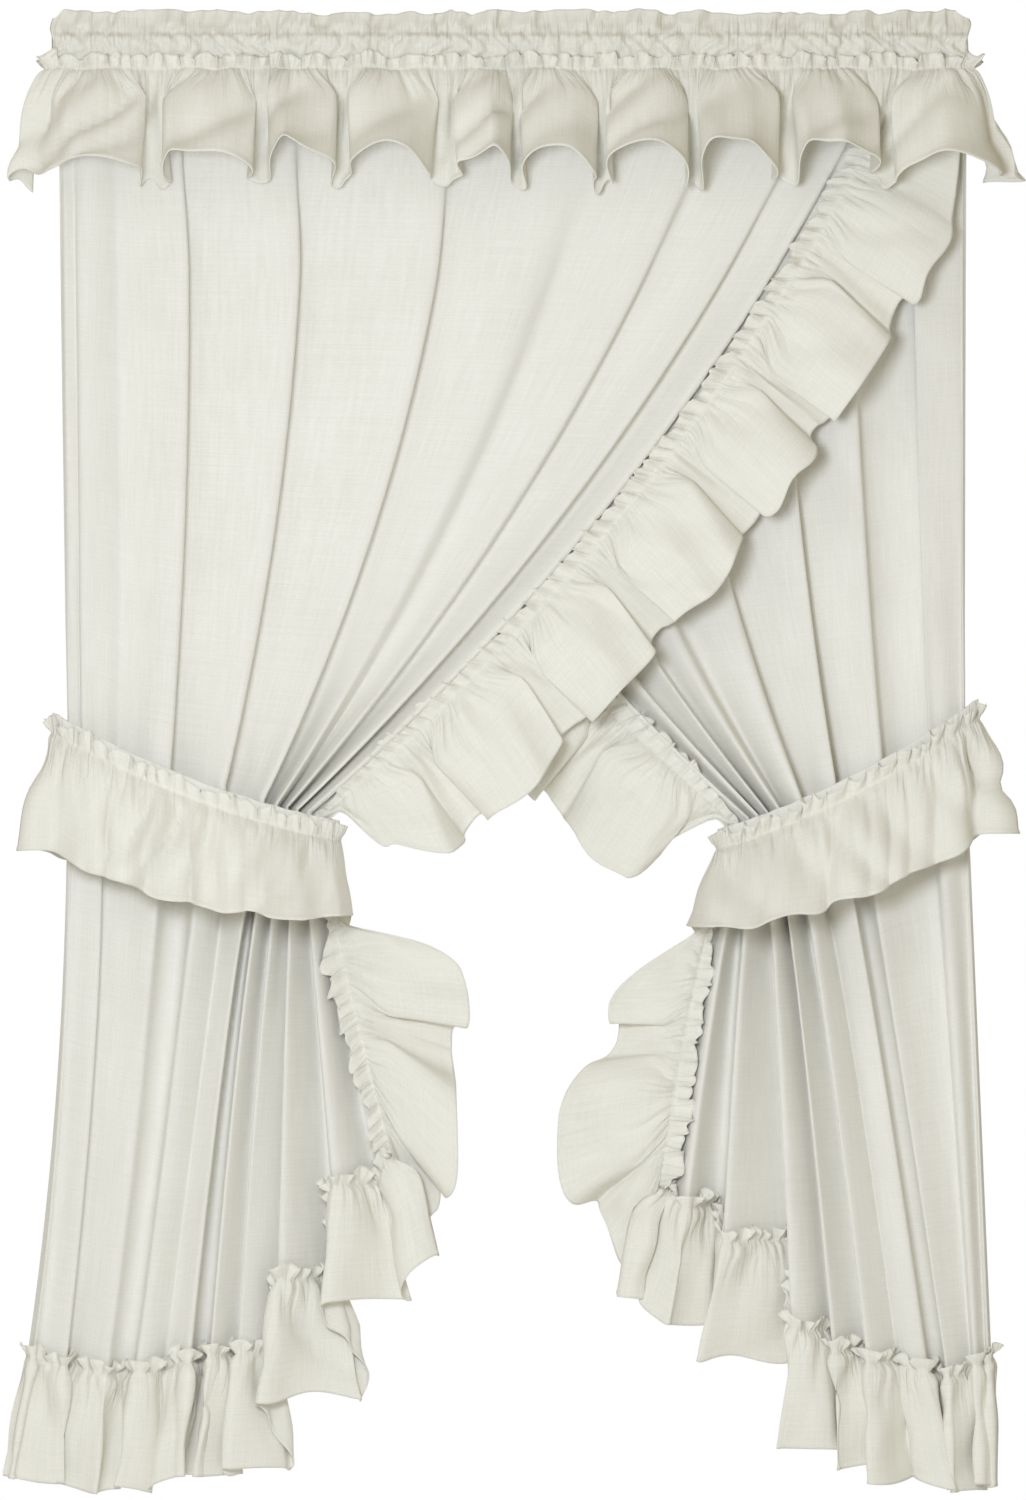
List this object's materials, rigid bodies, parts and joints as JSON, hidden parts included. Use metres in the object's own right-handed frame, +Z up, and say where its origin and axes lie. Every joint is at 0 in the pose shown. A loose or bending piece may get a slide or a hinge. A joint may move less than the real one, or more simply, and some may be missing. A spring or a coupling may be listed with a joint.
{
  "type": "pair of priscilla curtains",
  "caption": "Pair of ruffled window curtains crossed under one gathered rod-pocket heading and valance ruffle, each tied back to its side.",
  "frame": {"origin": "on the axis of the empty rod pocket, 4.5 mm to the right of the middle of its length", "axes": "+Z up, +Y towards the wall, +X to the right seen from the room; the curtains face -Y and hang down -Z"},
  "size_m": [1.0923, 0.1823, 1.598],
  "materials": {
    "heading_cloth": "plain-weave cotton, matt",
    "panel_cloth": "plain-weave cotton, matt",
    "ruffle_cloth": "plain-weave cotton, matt, gathered"
  },
  "bodies": {
    "root": {"heading": "heading_cloth", "valance_ruffle": "ruffle_cloth", "left_panel": "panel_cloth", "right_panel": "panel_cloth", "left_edge_ruffle": "ruffle_cloth", "right_edge_ruffle": "ruffle_cloth", "left_tie_band": "panel_cloth", "right_tie_band": "panel_cloth", "left_tie_ruffle": "ruffle_cloth", "right_tie_ruffle": "ruffle_cloth"}
  },
  "joints": []
}
